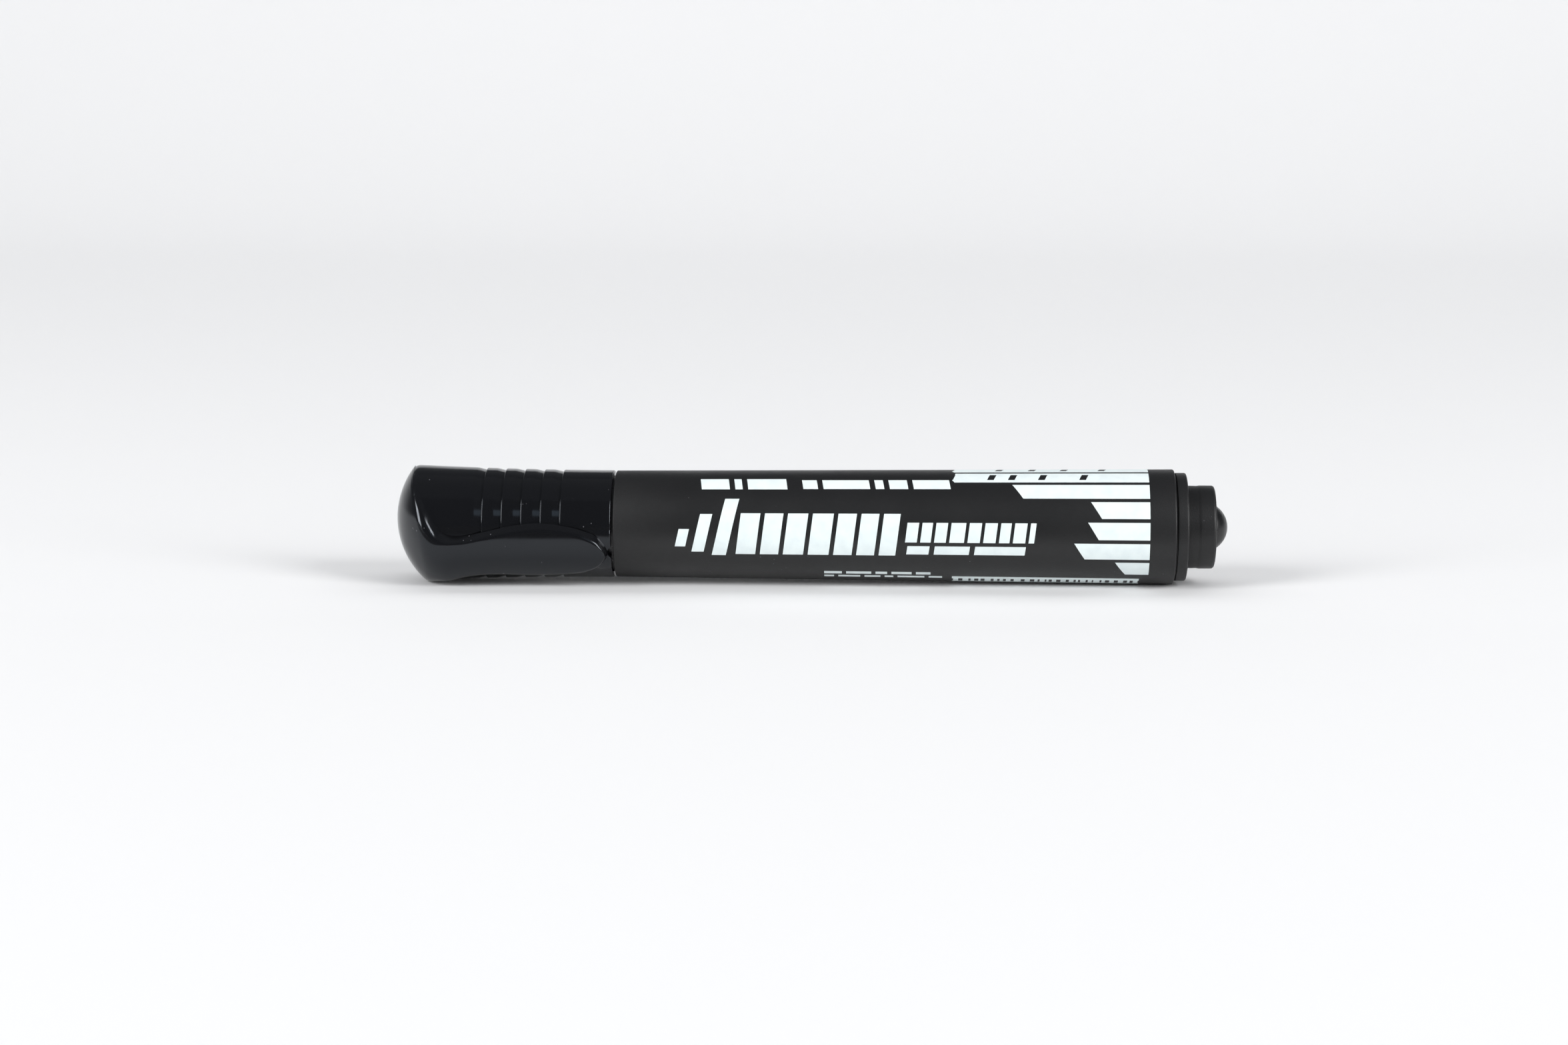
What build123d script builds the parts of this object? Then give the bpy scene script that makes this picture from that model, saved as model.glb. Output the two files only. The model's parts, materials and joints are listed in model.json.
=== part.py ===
from build123d import *
import os
from math import cos, isclose, radians, sin

# Felt tip marker with a bevelled nib and a clip cap, lying on its side.
# Frame: +X runs from the closed end of the cap to the rear of the barrel, +Z is up, and the clip
# faces -Y and a little down. The origin is under the middle of the marker, on the surface it lies on.
# Every "_at" value is a station in mm along the marker, measured from the closed end of the cap.

# ---- driving dimensions, mm -------------------------------------------------------------------
overall_length = 137.0
lead_in = 0.4                   # depth of the bevels that help one piece into the next
lead_in_run = 0.8
margin = 1.0                    # how far a cutting shape runs past what it cuts

# Cap shell
cap_mouth_at = 36.13
cap_mouth_radius = 8.83
shoulder_at = 3.0
shoulder_radius = 9.56
dome_radius = 14.5              # flattened ball that rounds the closed end
dome_half_width = 13.5          # the same ball from its middle to its flatter sides
dome_offset = 2.1               # how far its centre lies from the axis, away from the clip
hood_reach = 0.052              # how far the hood's lowest edge reaches past the shoulder's radius
cap_bore_radius = 7.60
cap_bore_from = 4.4
cap_seat_radius = 7.95          # wider bore at the mouth, over the barrel's seat
cap_seat_from = 26.5
bore_corner = 0.8
mouth_rounding = 0.25
groove_count = 5
first_groove_at = 15.04
groove_pitch = 3.19
groove_depth = 0.35
groove_run = 1.5                # length over which the wall dips before each step
mouth_notch_radius = 1.1
mouth_notch_depth = 0.55

# Pocket clip, moulded with the cap
clip_tilt = 23.4                # degrees below the horizontal, seen from the closed end
bulge_radius = 11.35            # outer face where the clip leaves the hood
bulge_until = 8.4
clip_tip_at = 35.65
clip_inner_radius = 9.42        # underside of the clip
clip_bead_radius = 9.00         # the bead under its tip that grips cloth
clip_bead_from = 31.6
clip_bead_run = 1.4
clip_edge_bevel = 0.45
strap_half_width = 13.0         # anything wider than the hood
hinge_at = 11.0                 # line on which the thin neck of the clip bends
hinge_radius = 10.1
hinge_nose = 1.3
hinge_gap = 0.05

# Sealing liner inside the cap
liner_from = 4.6
liner_until = 25.0
liner_radius = 7.53
liner_bore_radius = 6.72
liner_floor = 0.9
snap_bead = 0.22                # snap ring that keeps the liner in the cap
snap_at = 20.5
snap_width = 1.2
snap_clearance = 0.08

# Front section, pressed into the barrel
seat_from = 27.2
seat_radius = 7.87
nose_radius = 6.65
nose_from = 19.4
snout_radius = 3.70
snout_from = 15.4
snout_rounding = 0.3
cone_from = 16.1
section_spigot_radius = 7.45
section_until = 44.5
section_bore_radius = 6.30
section_bore_from = 30.0
vent_outer_radius = 5.30        # hollow around the nib guide
vent_inner_radius = 3.60
vent_from = 20.4

# Nib
nib_radius = 2.40
nib_bore_radius = 2.42
nib_tip_at = 10.2
nib_bevel_length = 2.8          # how far back the slanted writing edge runs
nib_flat_from = 15.0
nib_edge_half = 0.95
nib_tail_at = 45.5
nib_tail_chamfer = 0.9

# Ink reservoir and its film
reservoir_from = 31.0
reservoir_until = 119.0
reservoir_radius = 6.05
film_thickness = 0.12

# Barrel
barrel_from = 36.5
barrel_until = 128.1
barrel_front_radius = 8.77
barrel_rear_radius = 9.45
barrel_rear_rounding = 0.9
rib_count = 6
rib_thickness = 0.8
rib_radius = 6.30
rib_from = 46.0
rib_until = 117.5
rib_root = 0.25                 # how far the ribs run into the wall

# Rear plug, with the post that the cap can be put on
plug_from = 119.0
plug_radius = 8.10
plug_bore_radius = 5.60
plug_neck_radius = 8.55
ring_from = 128.35
ring_until = 130.1
ring_radius = 8.88
ring_rounding = 0.2
post_until = 134.75
post_radius = 6.82
post_rounding = 0.4
post_floor = 1.5
button_recess_radius = 3.95
button_recess = 0.35

# Domed end button
button_radius = 3.75
button_stem_radius = 1.60
button_stem_until = 131.6
button_height = overall_length - post_until

# ---- places worked out from them --------------------------------------------------------------
axis_y = (bulge_radius - shoulder_radius) / 2
axis_z = shoulder_radius + hood_reach
pen_end = (-overall_length / 2, axis_y, axis_z)
pen_axis = Axis(pen_end, (1, 0, 0))
clip_direction = (0, -cos(radians(clip_tilt)), -sin(radians(clip_tilt)))
side_normal = (0, sin(radians(clip_tilt)), -cos(radians(clip_tilt)))

# In these planes, x is the station along the marker.
upright = Plane(origin=pen_end, x_dir=(1, 0, 0), z_dir=(0, -1, 0))         # y is the radius, up
clip_side = Plane(origin=pen_end, x_dir=(1, 0, 0), z_dir=side_normal)      # y points at the clip
clip_front = Plane(origin=pen_end, x_dir=(1, 0, 0), z_dir=clip_direction)  # the clip seen square on
flat = Plane(origin=pen_end, x_dir=(1, 0, 0), z_dir=(0, 0, 1))             # y points away from the clip
across = Plane(origin=pen_end, x_dir=(0, 1, 0), z_dir=(1, 0, 0))           # square to the axis


def cap_radius(at):
    """Outer radius of the cap: a shallow parabola that ends parallel to the axis at the mouth."""
    share = (cap_mouth_at - at) / (cap_mouth_at - shoulder_at)
    return cap_mouth_radius + (shoulder_radius - cap_mouth_radius) * share**2


def past_hinge(nose):
    """The space beyond the clip's hinge, less a round nose of the given radius on the hinge line."""
    with BuildPart() as space:
        with BuildSketch(clip_side):
            with Locations((hinge_at + overall_length / 2, 0)):
                Rectangle(overall_length, 2 * overall_length)
        extrude(amount=overall_length, both=True)
        with BuildSketch(clip_side):
            with Locations((hinge_at, hinge_radius)):
                Circle(nose)
        extrude(amount=overall_length, both=True, mode=Mode.SUBTRACT)
    return space.part


# ---- clip strap: hood edge, neck and clip as one raised strap, shared by two pieces -----------
with BuildPart() as strap:
    with BuildSketch(clip_side):
        with BuildLine():
            face = Spline(
                (bulge_until, bulge_radius),
                (12.0, 10.95),
                (16.0, 10.62),
                (22.0, 10.40),
                (cap_mouth_at + margin, 10.25),
                tangents=((1, 0), (1, 0)),
            )
            Polyline(
                face @ 1,
                (cap_mouth_at + margin, 0),
                (-margin, 0),
                (-margin, bulge_radius),
                face @ 0,
            )
        make_face()
    revolve(axis=pen_axis)
    with BuildSketch(clip_front):
        with BuildLine():
            edge = Spline(
                (4.0, 9.75),
                (5.2, 8.55),
                (6.75, 7.0),
                (7.75, 5.35),
                (8.75, 4.05),
                (10.0, 3.25),
                (11.6, 2.98),
                (15.2, 3.55),
                (20.4, 4.7),
                (24.2, 5.0),
                (28.1, 4.7),
                (32.1, 3.75),
                (34.6, 2.15),
                (clip_tip_at, 0),
                tangents=((0.8, -1), (0, -1)),
            )
            Polyline(
                edge @ 0,
                (2.2, strap_half_width),
                (-margin, strap_half_width),
                (-margin, 0),
                edge @ 1,
            )
        make_face()
        mirror(about=Plane.XZ)
    extrude(amount=2 * bulge_radius, mode=Mode.INTERSECT)
    outer_edges = strap.edges().filter_by(GeomType.BSPLINE).sort_by(SortBy.LENGTH)[:-1]
    chamfer(outer_edges, clip_edge_bevel)

# ---- rounding tool for the closed end: a bar with a flattened ball for its nose, off the axis -----
with BuildPart() as ball_nose:
    nose_centre = clip_side.from_local_coords((dome_radius, -dome_offset, 0))
    with BuildSketch(Plane(origin=nose_centre, x_dir=(1, 0, 0), z_dir=clip_direction)):
        Ellipse(dome_radius, dome_half_width)
        with Locations((dome_radius, 0)):
            Rectangle(2 * dome_radius, 2 * dome_radius, mode=Mode.SUBTRACT)
    revolve(axis=Axis(nose_centre, side_normal))
    with BuildSketch(Plane(origin=nose_centre, x_dir=side_normal, z_dir=(1, 0, 0))):
        Ellipse(dome_half_width, dome_radius)
    extrude(amount=overall_length)

# ---- cap shell: hood, neck and grooved tube ------------------------------------------------------
with BuildPart() as cap_shell:
    add(strap.part)
    add(past_hinge(hinge_nose), mode=Mode.SUBTRACT)
    middle_at = (shoulder_at + cap_mouth_at) / 2
    with BuildSketch(upright):
        with BuildLine():
            wall = ThreePointArc(
                (shoulder_at, shoulder_radius),
                (middle_at, cap_radius(middle_at)),
                (cap_mouth_at, cap_mouth_radius),
            )
            Polyline(wall @ 1, (cap_mouth_at, 0), (0, 0), (0, shoulder_radius), wall @ 0)
        make_face()
    revolve(axis=pen_axis)
    # Grip grooves: the wall dips gently, then steps back up
    with BuildSketch(upright):
        for groove in range(groove_count):
            step_at = first_groove_at + groove * groove_pitch
            radius = cap_radius(step_at)
            with BuildLine():
                Polyline(
                    (step_at, radius - groove_depth),
                    (step_at, radius + groove_depth),
                    (step_at - groove_run, radius + groove_depth),
                    (step_at - groove_run, cap_radius(step_at - groove_run)),
                    close=True,
                )
            make_face()
    revolve(axis=pen_axis, mode=Mode.SUBTRACT)
    add(ball_nose.part, mode=Mode.INTERSECT)
    # Bore for the liner, its snap ring, and the wider seat at the mouth
    with BuildSketch(upright):
        with BuildLine():
            Polyline(
                (cap_bore_from, 0),
                (cap_bore_from, cap_bore_radius - bore_corner),
                (cap_bore_from + bore_corner, cap_bore_radius),
                (snap_at - snap_width / 2 - snap_clearance, cap_bore_radius),
                (snap_at, cap_bore_radius + snap_bead),
                (snap_at + snap_width / 2 + snap_clearance, cap_bore_radius),
                (cap_seat_from, cap_bore_radius),
                (cap_seat_from, cap_seat_radius),
                (cap_mouth_at, cap_seat_radius),
                (cap_mouth_at, 0),
                close=True,
            )
        make_face()
    revolve(axis=pen_axis, mode=Mode.SUBTRACT)
    mouth_rim = cap_shell.edges().filter_by(GeomType.CIRCLE).group_by(Axis.X)[-1]
    fillet(mouth_rim.sort_by(SortBy.RADIUS)[-1], mouth_rounding)
    # Small relief in the mouth, under the tip of the clip
    with BuildSketch(clip_front):
        with Locations((cap_mouth_at + mouth_notch_radius - mouth_notch_depth, 0)):
            Circle(mouth_notch_radius)
    extrude(amount=2 * bulge_radius, mode=Mode.SUBTRACT)
cap_shell.part.label = "cap_shell"

# ---- pocket clip: the strap beyond the hinge line, hollowed underneath to clear the tube ---------
with BuildPart() as pocket_clip:
    add(strap.part)
    add(past_hinge(hinge_nose + hinge_gap), mode=Mode.INTERSECT)
    with BuildSketch(clip_side):
        with BuildLine():
            Polyline(
                (0, 0),
                (0, clip_inner_radius),
                (clip_bead_from, clip_inner_radius),
                (clip_bead_from + clip_bead_run, clip_bead_radius),
                (overall_length, clip_bead_radius),
                (overall_length, 0),
                close=True,
            )
        make_face()
    revolve(axis=pen_axis, mode=Mode.SUBTRACT)
pocket_clip.part.label = "pocket_clip"

# ---- sealing liner: a thin cup that closes on the nose -------------------------------------------
with BuildPart() as cap_liner:
    with BuildSketch(upright):
        with BuildLine():
            Polyline(
                (liner_from, 0),
                (liner_from, liner_radius - bore_corner),
                (liner_from + bore_corner, liner_radius),
                (snap_at - snap_width / 2, liner_radius),
                (snap_at, liner_radius + snap_bead),
                (snap_at + snap_width / 2, liner_radius),
                (liner_until, liner_radius),
                (liner_until, liner_bore_radius + lead_in),
                (liner_until - lead_in_run, liner_bore_radius),
                (liner_from + liner_floor, liner_bore_radius),
                (liner_from + liner_floor, 0),
                close=True,
            )
        make_face()
    revolve(axis=pen_axis)
cap_liner.part.label = "cap_liner"

# ---- front section: seat for the cap, sealing nose and snout -------------------------------------
with BuildPart() as front_section:
    with BuildSketch(upright):
        with BuildLine():
            Polyline(
                (snout_from, 0),
                (snout_from, snout_radius),
                (cone_from, snout_radius),
                (nose_from, nose_radius),
                (seat_from, nose_radius),
                (seat_from, seat_radius - lead_in),
                (seat_from + lead_in_run, seat_radius),
                (barrel_from, seat_radius),
                (barrel_from, section_spigot_radius),
                (section_until, section_spigot_radius),
                (section_until, section_bore_radius),
                (section_bore_from, section_bore_radius),
                (section_bore_from, 0),
                close=True,
            )
        make_face()
    revolve(axis=pen_axis)
    # Hollow around the nib guide, open to the back
    with BuildSketch(upright):
        with BuildLine():
            Polyline(
                (vent_from, vent_inner_radius),
                (vent_from, vent_outer_radius),
                (section_bore_from, vent_outer_radius),
                (section_bore_from, vent_inner_radius),
                close=True,
            )
        make_face()
    revolve(axis=pen_axis, mode=Mode.SUBTRACT)
    with BuildSketch(across):
        Circle(nib_bore_radius)
    extrude(amount=overall_length, mode=Mode.SUBTRACT)
    section_rims = front_section.edges().filter_by(GeomType.CIRCLE)
    fillet(section_rims.group_by(Axis.X)[0].sort_by(SortBy.RADIUS)[-1], snout_rounding)
front_section.part.label = "front_section"

# ---- nib: a felt rod flattened towards its slanted writing edge ----------------------------------
with BuildPart() as nib:
    with BuildSketch(across.offset(nib_tip_at)):
        Circle(nib_radius)
    extrude(amount=nib_tail_at - nib_tip_at)
    chamfer(nib.edges().group_by(Axis.X)[-1], nib_tail_chamfer)
    # Two flats that thin it to the writing edge
    with BuildSketch(upright):
        with BuildLine():
            Polyline(
                (nib_tip_at, nib_edge_half),
                (nib_flat_from, nib_radius),
                (nib_flat_from, 2 * nib_radius),
                (nib_tip_at, 2 * nib_radius),
                close=True,
            )
        make_face()
        mirror(about=Plane.XZ)
    extrude(amount=2 * nib_radius, both=True, mode=Mode.SUBTRACT)
    # The slant of the writing edge
    with BuildSketch(flat):
        with BuildLine():
            Polyline(
                (nib_tip_at, -nib_radius),
                (nib_tip_at + nib_bevel_length, nib_radius),
                (nib_tip_at - margin, nib_radius),
                (nib_tip_at - margin, -nib_radius),
                close=True,
            )
        make_face()
    extrude(amount=2 * nib_radius, both=True, mode=Mode.SUBTRACT)
nib.part.label = "nib"

# ---- ink reservoir: a fibre rod with a socket for the nib's tail ---------------------------------
with BuildPart() as ink_reservoir:
    with BuildSketch(across.offset(reservoir_from)):
        Circle(reservoir_radius)
    extrude(amount=reservoir_until - reservoir_from)
    with BuildSketch(upright):
        with BuildLine():
            Polyline(
                (reservoir_from, 0),
                (reservoir_from, nib_radius),
                (nib_tail_at - nib_tail_chamfer, nib_radius),
                (nib_tail_at, nib_radius - nib_tail_chamfer),
                (nib_tail_at, 0),
                close=True,
            )
        make_face()
    revolve(axis=pen_axis, mode=Mode.SUBTRACT)
ink_reservoir.part.label = "ink_reservoir"

# ---- reservoir film: the thin sleeve that holds the fibres together ------------------------------
with BuildPart() as reservoir_film:
    with BuildSketch(across.offset(reservoir_from)):
        Circle(reservoir_radius + film_thickness)
        Circle(reservoir_radius, mode=Mode.SUBTRACT)
    extrude(amount=reservoir_until - reservoir_from)
reservoir_film.part.label = "reservoir_film"

# ---- barrel: a tapered tube with inner ribs that centre the reservoir ----------------------------
with BuildPart() as barrel:
    with BuildSketch(upright):
        with BuildLine():
            Polyline(
                (barrel_from, section_spigot_radius),
                (barrel_from, barrel_front_radius),
                (barrel_until, barrel_rear_radius),
                (barrel_until, plug_radius),
                (plug_from, plug_radius),
                (section_until, section_spigot_radius),
                close=True,
            )
        make_face()
    revolve(axis=pen_axis)
    rear_rim = barrel.edges().filter_by(GeomType.CIRCLE).group_by(Axis.X)[-1]
    fillet(rear_rim.sort_by(SortBy.RADIUS)[-1], barrel_rear_rounding)
    front_rim = barrel.edges().filter_by(GeomType.CIRCLE).group_by(Axis.X)[0]
    fillet(front_rim.sort_by(SortBy.RADIUS)[-1], mouth_rounding / 2)
    rib_height = plug_radius + rib_root - rib_radius
    with BuildSketch(across.offset(rib_from)):
        with PolarLocations(rib_radius + rib_height / 2, rib_count):
            Rectangle(rib_height, rib_thickness)
    extrude(amount=rib_until - rib_from)
barrel.part.label = "barrel"

# ---- rear plug: spigot in the barrel, ring, and the post for the cap -----------------------------
with BuildPart() as rear_plug:
    with BuildSketch(upright):
        with BuildLine():
            Polyline(
                (plug_from, plug_bore_radius),
                (plug_from, plug_radius - lead_in),
                (plug_from + lead_in_run, plug_radius),
                (barrel_until, plug_radius),
                (barrel_until, plug_neck_radius),
                (ring_from, plug_neck_radius),
                (ring_from, ring_radius),
                (ring_until, ring_radius),
                (ring_until, post_radius),
                (post_until, post_radius),
                (post_until, button_recess_radius),
                (post_until - button_recess, button_recess_radius),
                (post_until - button_recess, button_stem_radius),
                (post_until - post_floor, button_stem_radius),
                (post_until - post_floor, plug_bore_radius),
                close=True,
            )
        make_face()
    revolve(axis=pen_axis)
    plug_rims = rear_plug.edges().filter_by(GeomType.CIRCLE)
    fillet(plug_rims.filter_by(lambda rim: isclose(rim.radius, ring_radius)), ring_rounding)
    post_rims = plug_rims.filter_by(lambda rim: isclose(rim.radius, post_radius))
    fillet(post_rims.sort_by(Axis.X)[-1], post_rounding)
rear_plug.part.label = "rear_plug"

# ---- end button: a small dome on a stem, pressed into the post -----------------------------------
with BuildPart() as end_button:
    button_ball = (button_radius**2 + button_height**2) / (2 * button_height)
    with BuildSketch(upright):
        with BuildLine():
            rim_to_tip = RadiusArc((post_until, button_radius), (overall_length, 0), button_ball)
            Polyline(
                rim_to_tip @ 1,
                (button_stem_until, 0),
                (button_stem_until, button_stem_radius),
                (post_until - button_recess, button_stem_radius),
                (post_until - button_recess, button_radius),
                rim_to_tip @ 0,
            )
        make_face()
    revolve(axis=pen_axis)
end_button.part.label = "end_button"

os.makedirs("parts", exist_ok=True)
for piece in (
    cap_shell,
    pocket_clip,
    cap_liner,
    front_section,
    nib,
    ink_reservoir,
    reservoir_film,
    barrel,
    rear_plug,
    end_button,
):
    export_step(piece.part, f"parts/{piece.part.label}.step")
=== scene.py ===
import json
import math

import bmesh
import bpy
import numpy as np
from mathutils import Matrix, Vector


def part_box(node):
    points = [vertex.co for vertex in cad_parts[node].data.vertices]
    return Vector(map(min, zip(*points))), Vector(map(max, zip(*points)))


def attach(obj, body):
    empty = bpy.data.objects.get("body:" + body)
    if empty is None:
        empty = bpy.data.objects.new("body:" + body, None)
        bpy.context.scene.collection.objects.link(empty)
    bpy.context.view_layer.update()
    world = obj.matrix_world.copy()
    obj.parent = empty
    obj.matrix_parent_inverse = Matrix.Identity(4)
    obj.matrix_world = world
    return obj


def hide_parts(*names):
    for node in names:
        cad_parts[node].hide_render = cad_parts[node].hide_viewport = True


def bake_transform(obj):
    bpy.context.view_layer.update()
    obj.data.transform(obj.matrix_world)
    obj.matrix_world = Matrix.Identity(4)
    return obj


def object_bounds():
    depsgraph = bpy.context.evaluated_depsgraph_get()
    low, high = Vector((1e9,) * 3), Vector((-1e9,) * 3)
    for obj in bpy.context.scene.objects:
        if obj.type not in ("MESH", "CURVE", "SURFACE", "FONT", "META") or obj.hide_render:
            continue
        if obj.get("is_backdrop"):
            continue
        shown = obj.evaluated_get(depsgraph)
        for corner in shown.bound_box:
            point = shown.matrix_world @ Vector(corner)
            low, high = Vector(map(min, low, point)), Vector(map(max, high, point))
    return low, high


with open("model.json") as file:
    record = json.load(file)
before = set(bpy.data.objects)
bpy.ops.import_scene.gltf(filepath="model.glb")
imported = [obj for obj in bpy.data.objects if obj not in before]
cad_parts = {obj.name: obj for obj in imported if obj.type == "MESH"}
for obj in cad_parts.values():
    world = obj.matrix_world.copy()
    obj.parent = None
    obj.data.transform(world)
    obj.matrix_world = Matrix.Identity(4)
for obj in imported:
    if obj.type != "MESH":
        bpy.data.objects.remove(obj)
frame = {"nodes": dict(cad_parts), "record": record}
cad_low, cad_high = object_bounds()

# ---- frame -------------------------------------------------------------------------------------
# Shapes are worked out in mm as (station, radius, angle). The station runs along the marker from the
# closed end of the cap, and the angle is turned about its axis from the middle of the clip, upwards.
MM = 0.001
record = frame["record"]
joints = {j["name"]: j for j in record["behaviour"]["joints"]}
barrel_low, barrel_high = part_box("barrel")
axis_y = (barrel_low[1] + barrel_high[1]) / 2
axis_z = (barrel_low[2] + barrel_high[2]) / 2
hinge = joints["clip_flex"]["pos_m"]
reach = math.hypot(hinge[1] - axis_y, hinge[2] - axis_z)
clip_y, clip_z = (hinge[1] - axis_y) / reach, (hinge[2] - axis_z) / reach
side_y, side_z = clip_z, -clip_y


def place(at, out, side):
    """World points from stations and from distances towards the clip and to its upper side, in mm."""
    return np.stack(
        [
            cad_low[0] + MM * at,
            axis_y + MM * (out * clip_y + side * side_y),
            axis_z + MM * (out * clip_z + side * side_z),
        ],
        axis=-1,
    )


def place_polar(at, radius, angle):
    return place(at + 0 * angle, radius * np.cos(angle), radius * np.sin(angle))


# ---- curves ------------------------------------------------------------------------------------
def hermite(x, xs, ys, flat_start=False, flat_end=False):
    """Smooth curve through (xs, ys), read at x. It is level past its ends."""
    xs, ys = np.asarray(xs, float), np.asarray(ys, float)
    slope = np.gradient(ys, xs)
    if flat_start:
        slope[0] = 0
    if flat_end:
        slope[-1] = 0
    x = np.clip(x, xs[0], xs[-1])
    k = np.clip(np.searchsorted(xs, x) - 1, 0, len(xs) - 2)
    h = xs[k + 1] - xs[k]
    s = (x - xs[k]) / h
    return (
        (1 + 2 * s) * (1 - s) ** 2 * ys[k]
        + s * (1 - s) ** 2 * h * slope[k]
        + s * s * (3 - 2 * s) * ys[k + 1]
        + s * s * (s - 1) * h * slope[k + 1]
    )


def smooth_path(points, count):
    """count points evenly along a smooth curve through the given points."""
    points = np.asarray(points, float)
    along = np.concatenate([[0], np.cumsum(np.hypot(*np.diff(points, axis=0).T))])
    fine = np.linspace(0, along[-1], 4000)
    curve = np.stack([hermite(fine, along, points[:, i]) for i in (0, 1)], axis=-1)
    length = np.concatenate([[0], np.cumsum(np.hypot(*np.diff(curve, axis=0).T))])
    at = np.linspace(0, length[-1], count)
    return np.stack([np.interp(at, length, curve[:, i]) for i in (0, 1)], axis=-1)


def smoothstep(x, low, high):
    s = np.clip((x - low) / (high - low), 0, 1)
    return s * s * (3 - 2 * s)


def smooth_max(a, b, width):
    h = np.clip(1 - np.abs(a - b) / width, 0, 1)
    return np.maximum(a, b) + h * h * width / 4


def rounded(corners, closed=False, step=math.radians(11), support=0.05):
    """Outline through (station, radius, rounding) corners, with arcs and a support point by each."""
    out = []
    n = len(corners)
    for i, (x, y, rounding) in enumerate(corners):
        p = np.array([x, y], float)
        if not closed and i in (0, n - 1) or rounding == 0:
            out.append(p)
            continue
        to_last = np.array(corners[i - 1][:2], float) - p
        to_next = np.array(corners[(i + 1) % n][:2], float) - p
        len_last, len_next = np.linalg.norm(to_last), np.linalg.norm(to_next)
        u, v = to_last / len_last, to_next / len_next
        half = math.acos(np.clip(u @ v, -1, 1)) / 2
        if half > math.radians(89):
            out.append(p)
            continue
        tangent = min(rounding / math.tan(half), 0.48 * len_last, 0.48 * len_next)
        radius = tangent * math.tan(half)
        middle = (u + v) / np.linalg.norm(u + v)
        centre = p + middle * radius / math.sin(half)
        start, end = p + u * tangent, p + v * tangent
        sweep = math.pi - 2 * half
        count = max(2, math.ceil(sweep / step))
        if len_last * 0.48 > tangent + support:
            out.append(start + u * support)
        a, b = start - centre, end - centre
        for k in range(count + 1):
            s = k / count
            blend = (math.sin((1 - s) * sweep) * a + math.sin(s * sweep) * b) / math.sin(sweep)
            out.append(centre + blend)
        if len_next * 0.48 > tangent + support:
            out.append(end + v * support)
    return np.array(out)


# ---- meshes ------------------------------------------------------------------------------------
def grid_faces(rows, cols, close_rows=False, close_cols=False, start=0):
    i, j = np.meshgrid(
        np.arange(rows if close_rows else rows - 1),
        np.arange(cols if close_cols else cols - 1),
        indexing="ij",
    )
    down, right = (i + 1) % rows, (j + 1) % cols
    quads = np.stack([i * cols + j, i * cols + right, down * cols + right, down * cols + j], axis=-1)
    return (quads.reshape(-1, 4) + start).tolist()


def build(name, grids, sharp=35, merge=2e-7):
    """One mesh from grids of world points, each (points, close_rows, close_cols)."""
    verts, faces = [], []
    for points, close_rows, close_cols in grids:
        rows, cols = points.shape[:2]
        faces += grid_faces(rows, cols, close_rows, close_cols, sum(len(v) for v in verts))
        verts.append(points.reshape(-1, 3))
    mesh = bpy.data.meshes.new(name)
    mesh.from_pydata(np.concatenate(verts).tolist(), [], faces)
    work = bmesh.new()
    work.from_mesh(mesh)
    bmesh.ops.remove_doubles(work, verts=work.verts, dist=merge)
    bmesh.ops.dissolve_degenerate(work, dist=merge, edges=work.edges)
    bmesh.ops.recalc_face_normals(work, faces=work.faces)
    work.to_mesh(mesh)
    work.free()
    mesh.polygons.foreach_set("use_smooth", [True] * len(mesh.polygons))
    mesh.set_sharp_from_angle(angle=math.radians(sharp))
    obj = bpy.data.objects.new(name, mesh)
    bpy.context.scene.collection.objects.link(obj)
    return obj


def lathe(name, corners, segments=256, step=math.radians(11)):
    """Solid of revolution about the marker's axis from a closed outline of rounded corners."""
    outline = rounded(corners, closed=True, step=step)
    turn = np.linspace(0, 2 * math.pi, segments, endpoint=False)
    at = outline[:, 0][:, None]
    radius = np.maximum(outline[:, 1][:, None], 0)
    points = place_polar(at, radius + 0 * turn[None, :], turn[None, :])
    return build(name, [(points, True, True)])


# ---- cap: tube with grooves, and hood with clip ---------------------------------------------------
MOUTH_AT, MOUTH_RADIUS = 36.13, 8.83
SHOULDER_AT, SHOULDER_RADIUS = 3.0, 9.56
DOME_HALF_LENGTH, DOME_HALF_WIDTH = 14.5, 14.0
DOME_OFFSET, DOME_LIFT = 1.0, 0.55
CLIP_TIP_AT = 35.65
CLIP_UNDER, CLIP_BEAD = 9.42, 9.02
HOOD_SKIN = 0.8
TUBE_CLEARANCE = 0.1            # how far the hood's edge lies under the tube's surface
EDGE_POINTS, SHOULDER_POINTS = 330, 90
# How far the side wall of the hood and the clip leans in from its foot, by station
WALL_AT = [5.0, 6.5, 8.5, 10.0, 13.0, 20.0, 36.0]
WALL_LEAN = [1.1, 1.05, 0.6, 0.34, 0.32, 0.5, 0.5]
FACE_AT = [8.4, 12.0, 16.0, 22.0, 37.0]
FACE_RADIUS = [11.35, 10.95, 10.62, 10.40, 10.25]
# Outline of the hood and the clip, (station, half width), on its upper and its lower side
NEAR_TIP = [(32.1, 3.75), (34.6, 2.15), (CLIP_TIP_AT, 0), (34.6, -2.15), (32.1, -3.75)]
UPPER = [
    (2.2, 11.6),
    (3.6, 9.75),
    (4.7, 8.5),
    (6.15, 6.68),
    (7.29, 5.05),
    (8.49, 3.68),
    (9.6, 3.18),
    (11.2, 3.02),
    (15.2, 3.65),
    (20.4, 4.7),
    (24.2, 5.0),
    (28.1, 4.7),
] + NEAR_TIP
LOWER = [
    (2.4, 11.6),
    (3.9, 9.9),
    (5.0, 8.8),
    (6.75, 7.2),
    (8.7, 5.8),
    (11.0, 4.9),
    (13.2, 4.4),
    (15.7, 4.25),
    (20.4, 4.5),
    (24.2, 4.7),
    (28.1, 4.5),
] + NEAR_TIP


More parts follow.
